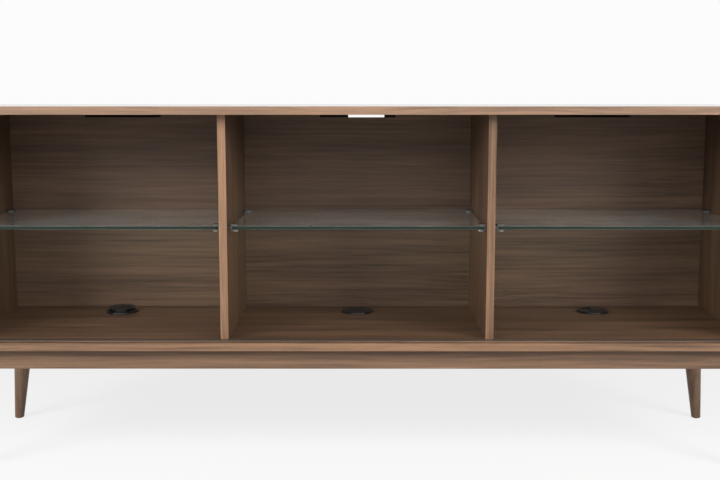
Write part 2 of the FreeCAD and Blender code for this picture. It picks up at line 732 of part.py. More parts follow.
def make_shelf_hardware(name, sign, patterns, clamp, tip):
    clips, clamps, pads = [], [], []
    for i, (hand, face, y) in enumerate(clip_places(sign)):
        clip, upper, standoff = patterns[hand]
        turn = 0 if hand < 0 else 180
        clips.append(linked(clip, f"{name}_clip_{i}", face, y, "pin_z", turn))
        knob_x = f"{face} - {hand} * ({standoff} + clip_length - knob_inset)"
        clamps.append(linked(clamp, f"{name}_clamp_{i}", knob_x, y, "pin_z"))
        pads.append(linked(upper, f"{name}_upper_pad_{i}", face, y, "pin_z", turn))
        pads.append(linked(tip, f"{name}_tip_pad_{i}", knob_x, y, "pin_z"))
    grouped(f"{name}_shelf_clips", clips)
    grouped(f"{name}_clamp_screws", clamps)
    grouped(f"{name}_clip_pads", pads)


# ---- grommets ----

def make_liner(name, sign):
    """Round liner with a flange on the floor panel and a ledge that carries the cap."""
    body = new_body(f"{name}_grommet_liner")
    ledge_foot = "ledge_top - ledge_thick"
    tail = "0 - board - liner_tail"
    revolve(body, "liner", [
        ("liner_bore", tail), ("liner_radius", tail), ("liner_radius", "0"),
        ("flange_radius", "0"), ("flange_radius", "flange_height"),
        ("liner_bore", "flange_height"), ("liner_bore", "ledge_top"),
        ("ledge_bore", "ledge_top"), ("ledge_bore", ledge_foot),
        ("liner_bore", ledge_foot)])
    rim, height = number("flange_radius"), number("flange_height")
    soften(body, "flange_rim",
           lambda edge: edge.Curve.TypeId == "Part::GeomCircle"
           and abs(edge.Curve.Radius - rim) < 1e-6
           and abs(edge.CenterOfMass.z - height) < 1e-6, "flange_round")
    return keep(body, f"{name}_grommet_liner", f"{sign} * pitch",
                "front_y + grommet_setback", "deck_z")


def cut_cord_opening(body, depth, top, limit):
    """U-shaped way in from the rim for cords, open towards +X of the piece."""
    pocket(body, "cord_round", "XY_Plane", circles(("cord_reach", "0", "cord_radius")),
           depth, top)
    pocket(body, "cord_mouth", "XY_Plane",
           rectangle("cord_reach", "0 - cord_radius", limit, "cord_radius"), depth, top)


def make_cap(name, sign):
    """Cap with a skirt that pushes into the liner's ledge."""
    body = new_body(f"{name}_grommet_cap")
    inner = "skirt_radius - skirt_wall"
    revolve(body, "cap", [
        ("hub_radius + hub_play", "ledge_top"), (inner, "ledge_top"),
        (inner, "ledge_top - skirt_length"), ("skirt_radius", "ledge_top - skirt_length"),
        ("skirt_radius", "ledge_top"), ("cap_radius", "ledge_top"),
        ("cap_radius", "cap_top - 1"), ("cap_radius - 1", "cap_top"),
        ("hub_radius + hub_play", "cap_top")])
    cut_cord_opening(body, "skirt_length + cap_thick + 2", "cap_top + 1", "cap_radius + 1")
    body.Placement = Placement(Vector(), Rotation(Vector(0, 0, 1), CAP_TURN[name]))
    rise = "cap_raised" if name == "left" else "0"
    return keep(body, f"{name}_grommet_cap", f"{sign} * pitch",
                "front_y + grommet_setback", f"deck_z + {rise}")


def make_shutter(name, sign):
    """Disc under the cap that turns on its hub to close the cord opening."""
    body = new_body(f"{name}_grommet_shutter")
    foot = "shutter_top - shutter_thick"
    neck = "cap_top + shutter_gap"
    revolve(body, "shutter", [
        ("0", foot), ("shutter_radius", foot), ("shutter_radius", "shutter_top"),
        ("hub_radius", "shutter_top"), ("hub_radius", neck), ("button_radius", neck),
        ("button_radius", f"{neck} + button_height - 0.6"),
        ("button_radius - 0.6", f"{neck} + button_height"),
        ("0", f"{neck} + button_height")])
    cut_cord_opening(body, "shutter_thick + 1", "shutter_top + 0.05", "shutter_radius + 1")
    turn = CAP_TURN[name] + SHUTTER_TURN[name]
    body.Placement = Placement(Vector(), Rotation(Vector(0, 0, 1), turn))
    rise = "cap_raised" if name == "left" else "0"
    return keep(body, f"{name}_grommet_shutter", f"{sign} * pitch",
                "front_y + grommet_setback", f"deck_z + {rise}")


# ---- apron frame ----

def rail_joints():
    """Middles of the end rails and cross rails along X."""
    return ["0 - (frame_half - rail / 2)", "0 - pitch / 2", "pitch / 2", "frame_half - rail / 2"]


def rail_dowel_rises():
    return ["plate_screw_bite + 2 * dowel_room + dowel_radius", "apron_height - rail_dowel_edge"]


def make_long_rail(end, sign):
    """Front or rear rail, full length of the frame."""
    body = new_body(f"{end}_rail")
    pad(body, "blank", "XZ_Plane", rectangle("0 - frame_half", "0", "frame_half",
                                             "apron_height"), "rail")
    outer = number("0 - rail") if sign < 0 else 0.0
    soften(body, "lower_edge",
           lambda edge: runs_along(edge, 0) and abs(edge.CenterOfMass.z) < 1e-6
           and abs(edge.CenterOfMass.y - outer) < 1e-6, "arris")
    seats = [(x, z, "dowel_hole") for x in rail_joints() for z in rail_dowel_rises()]
    if sign < 0:
        pocket(body, "dowel_holes", "XZ_Plane", circles(*seats), "dowel_seat + dowel_room",
               "0", True)
    else:
        pocket(body, "dowel_holes", "XZ_Plane", circles(*seats), "dowel_seat + dowel_room",
               "rail")
    holes = []
    for sign_x in (-1, 1):
        for step in (-1, 1):
            holes.append((f"{sign_x} * (leg_x + {step} * plate_screw_offset)",
                          f"{sign} * (leg_y + plate_screw_offset - rear_y + apron_setback)"
                          + (" - rail" if sign < 0 else ""), "screw_hole"))
    pocket(body, "plate_screw_holes", "XY_Plane", circles(*holes), "plate_screw_bite", "0",
           True)
    rear = "front_y + apron_setback + rail" if sign < 0 else "rear_y - apron_setback"
    return keep(body, f"{end}_rail", "0", rear, "leg_height")


def make_short_rail(label, middle, plate_hand):
    """Rail from front to rear; an end rail also takes one screw of each leg plate."""
    body = new_body(label)
    pad(body, "blank", "YZ_Plane", rectangle("0 - rail_span / 2", "0", "rail_span / 2",
                                             "apron_height"), "rail", "0 - rail / 2")
    seats = [("0", z, "dowel_hole") for z in rail_dowel_rises()]
    depth = "dowel_length - dowel_seat + dowel_room"
    pocket(body, "front_dowel_holes", "XZ_Plane", circles(*seats), depth, "rail_span / 2")
    pocket(body, "rear_dowel_holes", "XZ_Plane", circles(*seats), depth, "0 - rail_span / 2",
           True)
    if plate_hand:
        x = f"{plate_hand} * (leg_x + plate_screw_offset - frame_half + rail / 2)"
        holes = [(x, f"{sign} * (leg_y - plate_screw_offset)", "screw_hole")
                 for sign in (-1, 1)]
        pocket(body, "plate_screw_holes", "XY_Plane", circles(*holes), "plate_screw_bite", "0",
               True)
    return keep(body, label, middle, "0", "leg_height")


def make_corner_block(corner, sign_x, sign_y):
    """Wooden block in a corner of the frame, over the leg plate."""
    body = new_body(f"{corner}_block")
    pad(body, "blank", "XY_Plane",
        rectangle("0", "0", f"0 - {sign_x} * corner_block", f"0 - {sign_y} * corner_block"),
        "apron_height")
    hub_x = f"{sign_x} * (leg_x - block_x)"
    hub_y = f"{sign_y} * (leg_y - block_y)"
    pocket(body, "hub_hole", "XY_Plane", circles((hub_x, hub_y, "hub_outer + hub_room")),
           "hub_height + bolt_room", "0", True)
    screws = [(f"0 - {sign_x} * {a}", f"0 - {sign_y} * {b}", "long_screw_radius + thread_play")
              for a, b in long_screw_offsets()]
    pocket(body, "frame_screw_holes", "XY_Plane", circles(*screws), "apron_height + 1", "0",
           True)
    sinks = [(x, y, "long_screw_head + thread_play") for x, y, r in screws]
    pocket(body, "frame_screw_sinks", "XY_Plane", circles(*sinks), "long_screw_sink", "0",
           True)
    bite = (f"{sign_x} * (leg_x - plate_screw_offset - block_x)",
            f"{sign_y} * (leg_y - plate_screw_offset - block_y)", "screw_hole")
    pocket(body, "plate_screw_hole", "XY_Plane", circles(bite), "plate_screw_bite", "0",
           True)
    return keep(body, f"{corner}_block", f"{sign_x} * block_x", f"{sign_y} * block_y",
                "leg_height")


# ---- legs ----

def make_leg(corner, sign_x, sign_y):
    """Tapered splayed leg, its top and foot level. Its origin is under the top's middle."""
    body = new_body(f"{corner}_leg")
    foot = (f"{sign_x} * leg_splay", f"{sign_y} * leg_splay")
    skew_loft(body, "taper", (foot[0], foot[1], "0", "leg_foot_radius"),
              ("0", "0", "leg_length", "leg_top_radius"))
    pocket(body, "glide_hole", "XY_Plane",
           circles((foot[0], foot[1], "glide_pin + thread_play")),
           "glide_pin_length + dowel_room", "0", True)
    pocket(body, "bolt_hole", "XY_Plane", circles(("0", "0", "bolt_radius + thread_play")),
           "bolt_in_leg + dowel_room", "leg_length")
    foot_size = number("leg_foot_radius")
    soften(body, "foot_edge", lambda edge: abs(edge.CenterOfMass.z) < 1e-6
           and edge.BoundBox.ZLength < 1e-6 and edge.BoundBox.XLength > foot_size,
           "foot_round")
    return keep(body, f"{corner}_leg", f"{sign_x} * leg_x", f"{sign_y} * leg_y", "glide_thick")


def make_leg_plate_pattern():
    """Steel plate under a corner block, with a threaded hub for the leg bolt."""
    body = new_body("leg_plate_pattern")
    half = "plate_side / 2"
    pad(body, "plate", "XY_Plane", rectangle(f"0 - {half}", f"0 - {half}", half, half),
        "plate_thick")
    soften(body, "corners", lambda edge: runs_along(edge, 2), "plate_round")
    pad(body, "hub", "XY_Plane", circles(("0", "0", "hub_outer")), "hub_height", "plate_thick")
    holes = [(f"{a} * plate_screw_offset", f"{b} * plate_screw_offset", "screw_hole")
             for a in (-1, 1) for b in (-1, 1)]
    pocket(body, "screw_holes", "XY_Plane", circles(*holes), "plate_thick + 1", "0 - 0.5",
           True)
    sinks = [(x, y, "screw_head + thread_play") for x, y, radius in holes]
    pocket(body, "screw_sinks", "XY_Plane", circles(*sinks), "head_room", "0", True)
    pocket(body, "threaded_hole", "XY_Plane", circles(("0", "0", "bolt_radius + thread_play")),
           "plate_thick + hub_height + 2", "0 - 1", True)
    return body


def make_leg_bolt_pattern():
    """Headless bolt from the leg up through the plate's hub, its origin at the leg's top."""
    body = new_body("leg_bolt_pattern")
    pad(body, "shank", "XY_Plane", circles(("0", "0", "bolt_radius")),
        "bolt_in_leg + plate_thick + hub_height", "0 - bolt_in_leg")
    soften(body, "ends", lambda edge: edge.BoundBox.ZLength < 1e-6, "arris", "Chamfer")
    return body


def make_glide_pattern():
    """Nylon glide under a foot, with a pin up into the leg. Its origin is on the floor."""
    body = new_body("glide_pattern")
    revolve(body, "glide", [
        ("0", "0"), ("glide_radius - 1", "0"), ("glide_radius", "1"),
        ("glide_radius", "glide_thick"), ("glide_pin", "glide_thick"),
        ("glide_pin", "glide_thick + glide_pin_length"),
        ("0", "glide_thick + glide_pin_length")])
    return body


# ---- screws and dowels ----

def make_screw_pattern(name, length, radius, head, head_height):
    """Round-headed screw pointing up, its head's underside at the origin."""
    body = new_body(name)
    revolve(body, "screw", [
        ("0", f"0 - {head_height}"), (f"{head} * 0.6", f"0 - {head_height}"),
        (head, f"0 - {head_height} * 0.4"), (head, "0"), (radius, "0"),
        (radius, f"{length} - 1.5 * {radius}"), (f"{radius} / 4", length), ("0", length)])
    return body


def make_dowel_pattern():
    body = new_body("dowel_pattern")
    half = "dowel_length / 2"
    revolve(body, "dowel", [
        ("0", f"0 - {half}"), ("dowel_radius - 1", f"0 - {half}"),
        ("dowel_radius", f"1 - {half}"), ("dowel_radius", f"{half} - 1"),
        ("dowel_radius - 1", half), ("0", half)])
    return body


def turned(pattern, name, axis, angle, x, y, z):
    """Copy of a pattern turned about a level axis."""
    link = doc.addObject("App::Link", name)
    link.LinkedObject = pattern
    link.Placement = Placement(Vector(), Rotation(axis, angle))
    put(link, x, y, z)
    return link


X_AXIS = Vector(1, 0, 0)


def make_case_dowels(dowel):
    """Dowels between the upright boards and the top and floor panels."""
    links = []
    levels = ["deck_z - dowel_seat + dowel_length / 2",
              "ceiling_z + dowel_seat - dowel_length / 2"]
    for x in upright_middles():
        for y in dowel_places():
            for z in levels:
                links.append(linked(dowel, f"case_dowel_{len(links)}", f"{x} - side_x",
                                    f"front_y + {y}", z))
    grouped("case_dowels", links)


def make_rail_dowels(dowel):
    """Dowels between the long rails and the short rails."""
    links = []
    for end, sign in ENDS:
        y = f"{sign} * (rail_span / 2 + dowel_seat - dowel_length / 2)"
        for x in rail_joints():
            for rise in rail_dowel_rises():
                links.append(turned(dowel, f"rail_dowel_{len(links)}", X_AXIS, 90, x, y,
                                    f"leg_height + {rise}"))
    grouped("rail_dowels", links)


def make_back_screws(screw):
    """Screws through the back panels into the side panels and dividers."""
    links = []
    for name, sign in BAYS:
        left, right = back_edges(sign)
        for x in (f"{sign} * pitch - {left} + back_screw_edge",
                  f"{sign} * pitch + {right} - back_screw_edge"):
            for rise in back_screw_rises():
                links.append(turned(screw, f"back_screw_{len(links)}", X_AXIS, 90, x,
                                    "rear_y - back_inset", f"deck_z + {rise}"))
    grouped("back_screws", links)


def make_track_screws(upper, lower):
    """Screws that hold the two door tracks."""
    links = []
    for x in track_screw_places():
        across = f"board - side_x + {x}"
        links.append(linked(upper, f"track_screw_{len(links)}", across,
                            f"front_y + {TRACK_SCREW_LINE[True]}",
                            "ceiling_z + track_height - track_wall"))
        links.append(turned(lower, f"track_screw_{len(links)}", X_AXIS, 180, across,
                            f"front_y + {TRACK_SCREW_LINE[False]}",
                            "deck_z + lower_rise - head_room"))
    grouped("track_screws", links)


def make_plate_screws(screw):
    """Screws through the leg plates into rails and corner blocks."""
    links = []
    for corner, sign_x, sign_y in corner_names():
        for a in (-1, 1):
            for b in (-1, 1):
                links.append(linked(screw, f"plate_screw_{len(links)}",
                                    f"{sign_x} * leg_x + {a} * plate_screw_offset",
                                    f"{sign_y} * leg_y + {b} * plate_screw_offset",
                                    "leg_top_z + head_room"))
    grouped("leg_plate_screws", links)


def make_frame_screws(screw):
    """Long screws up through the corner blocks into the floor panel."""
    links = []
    for corner, sign_x, sign_y in corner_names():
        for from_end, from_side in long_screw_offsets():
            links.append(linked(screw, f"frame_screw_{len(links)}",
                                f"{sign_x} * (block_x - {from_end})",
                                f"{sign_y} * (block_y - {from_side})",
                                "leg_height + long_screw_sink"))
    grouped("frame_screws", links)


def make_leg_fittings():
    """Leg plates, leg bolts and foot glides, each a group of four."""
    plate, bolt, glide = make_leg_plate_pattern(), make_leg_bolt_pattern(), make_glide_pattern()
    plates, bolts, glides = [], [], []
    for corner, sign_x, sign_y in corner_names():
        plates.append(linked(plate, f"{corner}_plate", f"{sign_x} * leg_x",
                             f"{sign_y} * leg_y", "leg_top_z"))
        bolts.append(linked(bolt, f"{corner}_bolt", f"{sign_x} * leg_x",
                            f"{sign_y} * leg_y", "leg_top_z"))
        glides.append(linked(glide, f"{corner}_glide", f"{sign_x} * (leg_x + leg_splay)",
                             f"{sign_y} * (leg_y + leg_splay)", "0"))
    grouped("leg_plates", plates)
    grouped("leg_bolts", bolts)
    grouped("foot_glides", glides)


def build():
    make_top_panel()
    make_floor_panel()
    for side, sign in SIDES:
        make_side_panel(side, sign)
        make_divider(side, sign)
    for name, sign in BAYS:
        make_back_panel(name, sign)
        make_cable_strip(name, sign)
    make_upper_track()
    make_lower_track()
    patterns, clamp, tip = make_clip_patterns(), make_clamp_pattern(), make_tip_pad_pattern()
    for name, sign in BAYS:
        make_glass_shelf(name, sign)
        make_shelf_hardware(name, sign, patterns, clamp, tip)
        make_liner(name, sign)
        make_cap(name, sign)
        make_shutter(name, sign)
    for end, sign in ENDS:
        make_long_rail(end, sign)
    for side, sign in SIDES:
        make_short_rail(f"{side}_end_rail", f"{sign} * (frame_half - rail / 2)", sign)
        make_short_rail(f"{side}_cross_rail", f"{sign} * pitch / 2", 0)
    for corner, sign_x, sign_y in corner_names():
        make_corner_block(corner, sign_x, sign_y)
        make_leg(corner, sign_x, sign_y)
    make_leg_fittings()
    dowel = make_dowel_pattern()
    make_case_dowels(dowel)
    make_rail_dowels(dowel)
    small = ("screw_radius", "screw_head", "screw_head_height")
    make_back_screws(make_screw_pattern("back_screw_pattern", "back_board + screw_bite - 1",
                                        *small))
    upper = make_screw_pattern("upper_track_screw_pattern", "track_wall + track_bite - 1",
                               *small)
    lower = make_screw_pattern("lower_track_screw_pattern",
                               "lower_sink + lower_rise - head_room + track_bite - 1", *small)
    make_track_screws(upper, lower)
    make_plate_screws(make_screw_pattern("plate_screw_pattern",
                                         "plate_thick - head_room + plate_screw_bite - 1",
                                         *small))
    make_frame_screws(make_screw_pattern(
        "frame_screw_pattern", "apron_height - long_screw_sink + long_screw_bite - 1",
        "long_screw_radius", "long_screw_head", "long_screw_head_height"))


def export():
    """Check every object and every sub-part, then write the STEP files."""
    doc.recompute()
    for item in doc.Objects:
        if "Invalid" in item.State or "Error" in item.State:
            raise RuntimeError(f"{item.Name} has failed: {item.State}")
    for item in nodes:
        if item.Shape.isNull() or not item.Shape.isValid():
            raise RuntimeError(f"{item.Label} has no valid shape")
    os.makedirs("parts", exist_ok=True)
    for item in nodes:
        item.Shape.exportStep(f"parts/{item.Label}.step")
        print(item.Label, len(item.Shape.Solids), round(item.Shape.Volume))
    print(len(nodes), "sub-parts")


build()
export()
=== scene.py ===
"""Looks of a walnut media cabinet, laid out as a Blender add-on and run as a script."""

import math

import bpy
import numpy as np
from mathutils import Matrix, Vector


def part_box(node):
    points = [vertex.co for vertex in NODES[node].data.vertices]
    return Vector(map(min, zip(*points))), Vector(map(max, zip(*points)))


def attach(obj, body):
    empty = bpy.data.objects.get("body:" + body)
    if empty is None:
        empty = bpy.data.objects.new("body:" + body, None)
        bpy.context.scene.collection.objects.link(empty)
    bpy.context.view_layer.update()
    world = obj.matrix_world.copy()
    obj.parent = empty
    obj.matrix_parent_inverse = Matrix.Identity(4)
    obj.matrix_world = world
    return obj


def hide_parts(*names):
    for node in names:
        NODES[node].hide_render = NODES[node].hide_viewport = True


bl_info = {
    "name": "Media cabinet finish",
    "version": (1, 0, 0),
    "blender": (4, 5, 0),
    "location": "3D View > Sidebar > Cabinet",
    "description": "Gives the packed media cabinet its veneer, glass, metal and plastic",
    "category": "Object",
}

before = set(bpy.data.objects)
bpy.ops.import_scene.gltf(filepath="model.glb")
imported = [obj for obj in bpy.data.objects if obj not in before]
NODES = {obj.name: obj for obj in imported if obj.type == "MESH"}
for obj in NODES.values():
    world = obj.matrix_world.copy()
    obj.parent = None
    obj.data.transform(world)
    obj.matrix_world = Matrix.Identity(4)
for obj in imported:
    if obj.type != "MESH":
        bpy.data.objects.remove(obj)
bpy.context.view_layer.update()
BAYS = ("left", "centre", "right")
CORNERS = ("front_left", "front_right", "rear_left", "rear_right")


# ---- node trees ----

class Shading:
    """Short way to write a material's node tree."""

    def __init__(self, name):
        self.material = bpy.data.materials.new(name)
        self.material.use_nodes = True
        self.tree = self.material.node_tree
        self.tree.nodes.clear()
        self.output = self.tree.nodes.new("ShaderNodeOutputMaterial")

    def node(self, kind, settings=(), **inputs):
        """New node with its settings; each input is a value or another node's socket."""
        node = self.tree.nodes.new("ShaderNode" + kind)
        for key, value in dict(settings).items():
            setattr(node, key, value)
        for key, value in inputs.items():
            slot = int(key[1:]) if key[0] == "i" and key[1:].isdigit() else key.replace("_", " ")
            self.feed(node.inputs[slot], value)
        return node

    def feed(self, slot, value):
        if isinstance(value, bpy.types.NodeSocket):
            self.tree.links.new(value, slot)
        else:
            slot.default_value = value

    def sum(self, operation, *values, clamp=False):
        node = self.node("Math", {"operation": operation, "use_clamp": clamp})
        for i, value in enumerate(values):
            self.feed(node.inputs[i], value)
        return node.outputs[0]

    def vector(self, operation, *values):
        node = self.node("VectorMath", {"operation": operation})
        for i, value in enumerate(values):
            self.feed(node.inputs[i], value)
        return node.outputs[0]

    def noise(self, place, scale, detail=2.0, roughness=0.5, distortion=0.0, part="Fac"):
        node = self.node("TexNoise", Vector=place, Scale=scale, Detail=detail,
                         Roughness=roughness, Distortion=distortion)
        return node.outputs[part]

    def ramp(self, factor, stops):
        """Colour ramp through (position, colour) stops."""
        node = self.node("ValToRGB", Fac=factor)
        marks = node.color_ramp.elements
        while len(marks) < len(stops):
            marks.new(0.5)
        for mark, (position, colour) in zip(marks, stops):
            mark.position = position
            mark.color = tuple(colour) + (1.0,) * (4 - len(colour))
        return node.outputs["Color"]

    def limits(self, factor, low, high, start=0.0, end=1.0):
        """Map a value from low..high to start..end, clamped."""
        node = self.node("MapRange", Value=factor, From_Min=low, From_Max=high, To_Min=start,
                         To_Max=end)
        return node.outputs[0]

    def mix(self, factor, first, second, blend="MIX"):
        node = self.node("Mix", {"data_type": "RGBA", "blend_type": blend})
        self.feed(node.inputs[0], factor)
        self.feed(node.inputs[6], first)
        self.feed(node.inputs[7], second)
        return node.outputs[2]

    def bump(self, height, strength, distance, under=None):
        node = self.node("Bump", Height=height, Strength=strength, Distance=distance)
        if under is not None:
            self.feed(node.inputs["Normal"], under)
        return node.outputs[0]

    def finish(self, shader):
        self.tree.links.new(shader, self.output.inputs["Surface"])
        return self.material


def colour4(colour):
    return tuple(colour) + (1.0,)


def scaled(colour, gain):
    return tuple(channel * gain for channel in colour)


# ---- materials ----

GRAIN_TURN = {"X": (0.0, 0.0, 0.0), "Y": (0.0, 0.0, -math.pi / 2), "Z": (0.0, math.pi / 2, 0.0)}


LEAF_WIDTH = 0.31  # width of a veneer leaf; the next leaf mirrors it
LOG_TURN = 0.8  # length after which the log's axis leans back
LOG_LEAN = 0.035  # rise of the log's axis for each metre along the grain
LOG_DEPTH = 0.035  # depth of the log's axis below the board
RING_RATE = 430.0  # phase of the rings for each metre from the log's axis
PAST_ZERO = 10.0  # keeps a folded coordinate positive
COAT_ROUGHNESS = 0.08


def walnut(name, along, tone, shift, figure, gloss, coat=0.0, face_shade_gain=1.0):
    """Open-pored veneer. The rings are distances from a log's axis that leans against the
    board, warped by a low noise; streaks and pores are noises drawn out along the grain.
    Faces other than the front edges are darkened by a gain as painted shade, standing in for the
    shade they get away from the lit front edges."""
    s = Shading(name)
    place = s.node("TexCoord").outputs["Object"]
    turned = s.node("Mapping", Vector=place, Rotation=GRAIN_TURN[along],
                    Location=(0.37 * shift, 0.23 * shift, 0.11 * shift)).outputs[0]
    slow = s.vector("MULTIPLY", turned, (1.1, 6.0, 6.0))
    drift = s.noise(slow, 1.0, 2.0, 0.5, 0.4, part="Color")
    warp = s.vector("MULTIPLY", s.vector("SUBTRACT", drift, (0.5, 0.5, 0.5)), (0.0, 0.05, 0.05))
    bent = s.vector("ADD", turned, warp)
    split = s.node("SeparateXYZ", Vector=bent)
    x, y, z = split.outputs[0], split.outputs[1], split.outputs[2]
    centred = s.sum("PINGPONG", s.sum("ADD", y, PAST_ZERO), LEAF_WIDTH)
    across = s.sum("SUBTRACT", centred, LEAF_WIDTH / 2)
    folded = s.sum("PINGPONG", s.sum("ADD", x, PAST_ZERO), LOG_TURN)
    deep = s.sum("ADD", s.sum("MULTIPLY", folded, LOG_LEAN), s.sum("ADD", z, LOG_DEPTH))
    squares = s.sum("ADD", s.sum("MULTIPLY", across, across), s.sum("MULTIPLY", deep, deep))
    reach = s.sum("SQRT", squares)
    rings = s.sum("SINE", s.sum("MULTIPLY", reach, RING_RATE))
    rings = s.limits(rings, -1.0, 1.0)
    streak = s.noise(s.vector("MULTIPLY", bent, (5.0, 260.0, 260.0)), 1.0, 4.0, 0.6)
    broad = s.noise(s.vector("MULTIPLY", turned, (1.6, 26.0, 26.0)), 1.0, 3.0, 0.55)
    bands = s.noise(s.vector("MULTIPLY", turned, (2.2, 130.0, 130.0)), 1.0, 3.0, 0.6)
    pores = s.noise(s.vector("MULTIPLY", turned, (55.0, 1700.0, 1700.0)), 1.0, 2.0, 0.6)
    pores = s.limits(pores, 0.60, 0.70)
    total = s.sum("ADD", s.sum("MULTIPLY", rings, figure), s.sum("MULTIPLY", streak, 0.50))
    total = s.sum("ADD", total, s.sum("MULTIPLY", broad, 0.70))
    total = s.sum("ADD", total, s.sum("MULTIPLY", bands, 0.50))
    total = s.limits(total, 0.66, 1.06 + figure * 0.75)
    body = s.ramp(total, [(0.0, scaled(tone, 0.48)), (0.34, scaled(tone, 0.80)),
                          (0.62, scaled(tone, 1.08)), (1.0, scaled(tone, 1.42))])
    body = s.mix(s.sum("MULTIPLY", pores, 0.45), body, colour4(scaled(tone, 0.34)))
    normal = s.node("NewGeometry").outputs["Normal"]
    is_front = s.sum("LESS_THAN", s.node("SeparateXYZ", Vector=normal).outputs[1], -0.5)
    # painted shade: every face but the front edges is multiplied by the face gain
    shaded_faces = s.mix(1.0, body, colour4((face_shade_gain,) * 3), "MULTIPLY")
    body = s.mix(is_front, shaded_faces, body)
    rough = s.limits(streak, 0.3, 0.7, gloss, gloss + 0.12)
    relief = s.bump(s.sum("SUBTRACT", s.sum("MULTIPLY", streak, 0.25), pores), 0.35, 0.0001)
    shader = s.node("BsdfPrincipled", Base_Color=body, Roughness=rough, Normal=relief,
                    IOR=1.45, Coat_Weight=coat, Coat_Roughness=COAT_ROUGHNESS).outputs[0]
    return s.finish(shader)


def plain_wood(name, along, tone):
    """Unfinished beech: short flecks drawn out along the grain over a slow tone."""
    s = Shading(name)
    place = s.node("TexCoord").outputs["Object"]
    turned = s.node("Mapping", Vector=place, Rotation=GRAIN_TURN[along]).outputs[0]
    slow = s.noise(s.vector("MULTIPLY", turned, (3.0, 40.0, 40.0)), 1.0, 3.0)
    fleck = s.noise(s.vector("MULTIPLY", turned, (260.0, 1300.0, 1300.0)), 1.0, 1.0)
    fleck = s.limits(fleck, 0.62, 0.72)
    body = s.ramp(slow, [(0.3, scaled(tone, 0.82)), (0.7, scaled(tone, 1.12))])
    body = s.mix(s.sum("MULTIPLY", fleck, 0.4), body, colour4(scaled(tone, 0.55)))
    relief = s.bump(fleck, 0.2, 0.0001)
    return s.finish(s.node("BsdfPrincipled", Base_Color=body, Roughness=0.7,
                           Normal=relief).outputs[0])


def moulded_plastic(name, tone, gloss, grain):
    """Moulded plastic: a fine pebble bump, faint handling marks in the gloss."""
    s = Shading(name)
    place = s.node("TexCoord").outputs["Object"]
    pebble = s.noise(place, grain, 2.0, 0.5)
    marks = s.noise(place, 90.0, 4.0, 0.65)
    body = s.ramp(marks, [(0.35, scaled(tone, 0.8)), (0.75, scaled(tone, 1.5))])
    rough = s.limits(marks, 0.35, 0.7, gloss, gloss + 0.16)
    relief = s.bump(pebble, 0.16, 0.0002)
    return s.finish(s.node("BsdfPrincipled", Base_Color=body, Roughness=rough,
                           Normal=relief).outputs[0])


def rubber(name, tone):
    """Matt rubber with a fine skin and a little dust."""
    s = Shading(name)
    place = s.node("TexCoord").outputs["Object"]
    skin = s.noise(place, 1400.0, 2.0, 0.6)
    dust = s.noise(place, 45.0, 5.0, 0.7)
    body = s.ramp(dust, [(0.4, tone), (0.85, scaled(tone, 2.2))])
    relief = s.bump(skin, 0.25, 0.0002)
    return s.finish(s.node("BsdfPrincipled", Base_Color=body, Roughness=0.78,
                           Normal=relief).outputs[0])


def brushed_metal(name, tone, along, gloss):
    """Satin metal: fine brush lines along one axis in bump and gloss, faint smudges."""
    s = Shading(name)
    place = s.node("TexCoord").outputs["Object"]
    turned = s.node("Mapping", Vector=place, Rotation=GRAIN_TURN[along]).outputs[0]
    lines = s.noise(s.vector("MULTIPLY", turned, (40.0, 5200.0, 5200.0)), 1.0, 2.0)
    smudge = s.noise(place, 60.0, 3.0, 0.6)
    body = s.ramp(smudge, [(0.3, scaled(tone, 0.88)), (0.7, scaled(tone, 1.06))])
    rough = s.limits(lines, 0.3, 0.7, gloss, gloss + 0.14)
    relief = s.bump(lines, 0.12, 0.00005)
    return s.finish(s.node("BsdfPrincipled", Base_Color=body, Metallic=1.0, Roughness=rough,
                           Normal=relief).outputs[0])


def shelf_glass(name, edge_tone, body_tone):
    """Clear float glass. Faces that look sideways are the ground edges: dark green, with a
    faint band and grinding marks along the edge. Shadow rays pass with a slight tint."""
    s = Shading(name)
    place = s.node("TexCoord").outputs["Object"]
    normal = s.node("NewGeometry").outputs["Normal"]
    upright = s.sum("ABSOLUTE", s.node("SeparateXYZ", Vector=normal).outputs[2])
    is_edge = s.sum("LESS_THAN", upright, 0.5)
    marks = s.noise(s.vector("MULTIPLY", place, (30.0, 30.0, 1500.0)), 1.0, 3.0)
    tint = s.ramp(marks, [(0.3, scaled(edge_tone, 0.6)), (0.55, edge_tone),
                          (0.8, scaled(edge_tone, 2.4))])
    edge = s.node("BsdfPrincipled", Base_Color=tint, Roughness=0.30, IOR=1.4,
                  Transmission_Weight=0.05).outputs[0]
    wipes = s.noise(place, 14.0, 4.0, 0.6)
    gloss = s.limits(wipes, 0.4, 0.75, 0.0, 0.035)
    clear = s.node("BsdfPrincipled", Base_Color=colour4(body_tone), Roughness=gloss, IOR=1.5,
                   Transmission_Weight=1.0).outputs[0]
    film = s.node("BsdfDiffuse", Color=(0.9, 0.9, 0.9, 1.0)).outputs[0]
    clear = s.node("MixShader", Fac=s.limits(wipes, 0.3, 0.8, 0.03, 0.08), i1=clear,
                   i2=film).outputs[0]
    glass = s.node("MixShader", Fac=is_edge, i1=clear, i2=edge).outputs[0]
    passing = s.node("BsdfTransparent", Color=(0.86, 0.93, 0.90, 1.0)).outputs[0]
    shadow = s.node("LightPath").outputs["Is Shadow Ray"]
    return s.finish(s.node("MixShader", Fac=shadow, i1=glass, i2=passing).outputs[0])


def soft_pad(name, tone):
    """Milky vinyl pad."""
    s = Shading(name)
    place = s.node("TexCoord").outputs["Object"]
    cloud = s.noise(place, 700.0, 2.0)
    body = s.ramp(cloud, [(0.3, scaled(tone, 0.85)), (0.7, tone)])
    relief = s.bump(cloud, 0.1, 0.0001)
    return s.finish(s.node("BsdfPrincipled", Base_Color=body, Roughness=0.4, Normal=relief,
                           Transmission_Weight=0.3).outputs[0])


